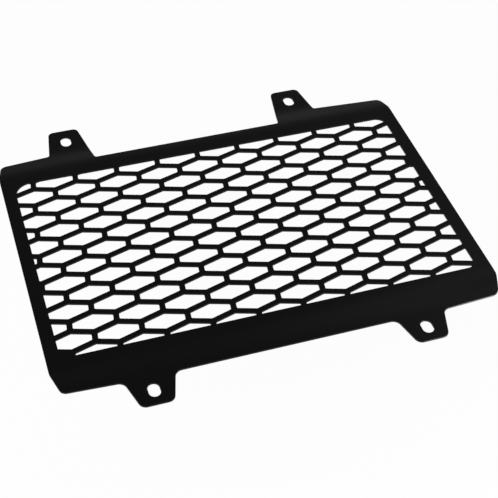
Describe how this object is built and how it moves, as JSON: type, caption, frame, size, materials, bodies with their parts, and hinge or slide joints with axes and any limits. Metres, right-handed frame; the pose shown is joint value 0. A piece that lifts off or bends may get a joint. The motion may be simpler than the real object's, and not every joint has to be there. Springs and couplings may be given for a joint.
{
  "type": "motorcycle radiator guard",
  "caption": "Flat sheet-metal guard that stands in front of a motorcycle's radiator: honeycomb grille, plain border and slotted fixing tabs.",
  "frame": {"origin": "middle of the guard's overall width and height, on the plane of the tabs' back faces", "axes": "+X across the guard to the right seen from the front, +Y up the guard towards the shallower plain border, +Z out of the front face"},
  "size_m": [0.2518, 0.23, 0.0025],
  "materials": {
    "coated_sheet": "satin"
  },
  "bodies": {
    "root": {"guard_panel": "coated_sheet"}
  },
  "joints": []
}
